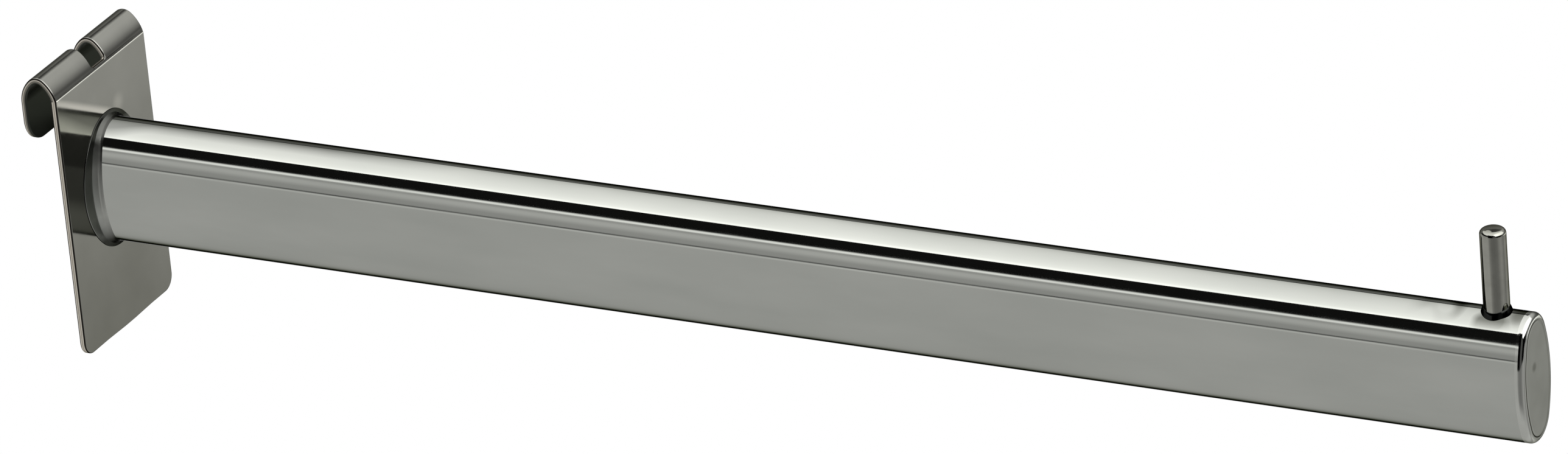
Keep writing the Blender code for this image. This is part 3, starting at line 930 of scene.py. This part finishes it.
seen = add_node(
    tree, "ShaderNodeMath", (path["Is Camera Ray"], path["Is Glossy Ray"]), operation="MAXIMUM"
)
direct = add_node(tree, "ShaderNodeMath", (seen, path["Is Transmission Ray"]), operation="MAXIMUM")
surface = add_node(tree, "ShaderNodeMixShader", (direct, matt, bright))
add_node(tree, "ShaderNodeOutputMaterial", {"Surface": surface})
floor_mesh.materials.append(floor_paint)

# The room by direction. Each wall is brightness by height, from straight down at -1 to straight
# up at 1, and the softbox is brightness across the room, from the camera's side to the far side.
WALLS = {
    "left": (
        (-1.0, 1.0), (-0.055, 1.0), (-0.042, 1.38), (-0.032, 1.38), (-0.028, 0.2), (-0.014, 0.2),
        (-0.01, 0.78), (0.04, 0.8), (0.09, 1.14), (0.12, 1.14), (0.145, 0.8), (0.155, 0.8),
        (0.165, 2.3), (0.182, 2.3), (0.192, 0.015), (1.0, 0.015),
    ),
    "far": ((-1.0, 0.5), (0.0, 0.35), (0.3, 0.5), (0.46, 0.62), (0.52, 0.15), (1.0, 0.15)),
    "end": (
        (-1.0, 0.05), (-0.14, 0.03), (-0.11, 0.12), (-0.06, 0.32), (-0.02, 0.42), (0.02, 0.24),
        (0.06, 0.26), (0.1, 0.36), (0.14, 0.46), (0.3, 0.92), (0.5, 1.25), (1.0, 1.3),
    ),
    "softbox": (
        (-1.0, 3.5), (-0.6, 3.5), (-0.5, 2.85), (-0.3, 2.6), (0.1, 2.35), (0.5, 2.15), (1.0, 1.9),
    ),
}
# Where one wall passes into the next. The camera's side is black but for a faint haze towards the
# free end, and the softbox is brighter over that end.
LEFT_START = (-0.29, -0.33)
FAR_START = (0.0, 0.3)
END_SLANT = 0.35
END_START = (-0.05, 0.35)
HAZE_SIDE = (-0.55, -0.7, 0.0, 0.2)
HAZE_END = (0.3, 0.42)
SOFTBOX_BOOST = (0.1, 0.4, 1.0, 1.8)

world = bpy.data.worlds.new("studio")
bpy.context.scene.world = world
world.use_nodes = True
tree = world.node_tree
tree.nodes.clear()
direction = add_node(tree, "ShaderNodeTexCoord").outputs["Generated"]
along, across, up = add_node(tree, "ShaderNodeSeparateXYZ", (direction,)).outputs
levels = {}
for name, wall in WALLS.items():
    read_by = add_node(tree, "ShaderNodeMapRange", (across if name == "softbox" else up, *EACH_WAY))
    ramp = add_node(tree, "ShaderNodeValToRGB", (read_by,), stops=grey_stops(wall, 2))
    levels[name] = add_node(tree, "ShaderNodeMath", (ramp, BRIGHTEST), operation="MULTIPLY")
haze_side = add_node(tree, "ShaderNodeMapRange", (across, *HAZE_SIDE))
haze_end = add_node(tree, "ShaderNodeMapRange", (along, *HAZE_END))
haze = add_node(tree, "ShaderNodeMath", (haze_side, haze_end), operation="MULTIPLY")
to_left = add_node(tree, "ShaderNodeMapRange", (along, *LEFT_START), **SOFT)
near_side = add_node(tree, "ShaderNodeMix", {"Factor": to_left, "A": haze, "B": levels["left"]})
end_way = add_node(tree, "ShaderNodeMath", (across, END_SLANT, along), operation="MULTIPLY_ADD")
to_end = add_node(tree, "ShaderNodeMapRange", (end_way, *END_START), **SOFT)
far_side = add_node(tree, "ShaderNodeMix", {"Factor": to_end, "A": levels["far"], "B": levels["end"]})
to_far = add_node(tree, "ShaderNodeMapRange", (across, *FAR_START), **SOFT)
walls = add_node(tree, "ShaderNodeMix", {"Factor": to_far, "A": near_side, "B": far_side})
boost = add_node(tree, "ShaderNodeMapRange", (along, *SOFTBOX_BOOST))
softbox = add_node(tree, "ShaderNodeMath", (levels["softbox"], boost), operation="MULTIPLY")

# The softbox's edge, by height: it leans down towards the far side, steps up a little off the
# left wall and droops over the free end.
SOFTBOX_EDGE = 0.591
SOFTBOX_LEAN = -0.084
SOFTBOX_LIFT = (-0.42, -0.3, 0.0, 0.13)
SOFTBOX_DROOP = (0.3, 0.75, 0.0, 0.36)
SOFTBOX_BLUR = (-0.006, 0.006)
leaning = add_node(tree, "ShaderNodeMath", (across, SOFTBOX_LEAN, SOFTBOX_EDGE), operation="MULTIPLY_ADD")
lift = add_node(tree, "ShaderNodeMapRange", (along, *SOFTBOX_LIFT), **SOFT)
lifted = add_node(tree, "ShaderNodeMath", (leaning, lift), operation="ADD")
droop = add_node(tree, "ShaderNodeMapRange", (along, *SOFTBOX_DROOP), **SOFT)
edge = add_node(tree, "ShaderNodeMath", (lifted, droop), operation="SUBTRACT")
above = add_node(tree, "ShaderNodeMath", (up, edge), operation="SUBTRACT")
inside = add_node(tree, "ShaderNodeMapRange", (above, *SOFTBOX_BLUR), **SOFT)
room_level = add_node(tree, "ShaderNodeMix", {"Factor": inside, "A": walls, "B": softbox})

# Only reflections see the room. The eye sees plain white.
WHITE = (1.0, 1.0, 1.0, 1.0)
room = add_node(tree, "ShaderNodeBackground", {"Color": WHITE, "Strength": room_level})
plain = add_node(tree, "ShaderNodeBackground", {"Color": WHITE, "Strength": 1.0})
path = add_node(tree, "ShaderNodeLightPath").outputs
mirrored = add_node(
    tree, "ShaderNodeMath", (path["Is Glossy Ray"], path["Is Transmission Ray"]), operation="MAXIMUM"
)
backdrop = add_node(tree, "ShaderNodeMixShader", (mirrored, plain, room))
add_node(tree, "ShaderNodeOutputWorld", {"Surface": backdrop})
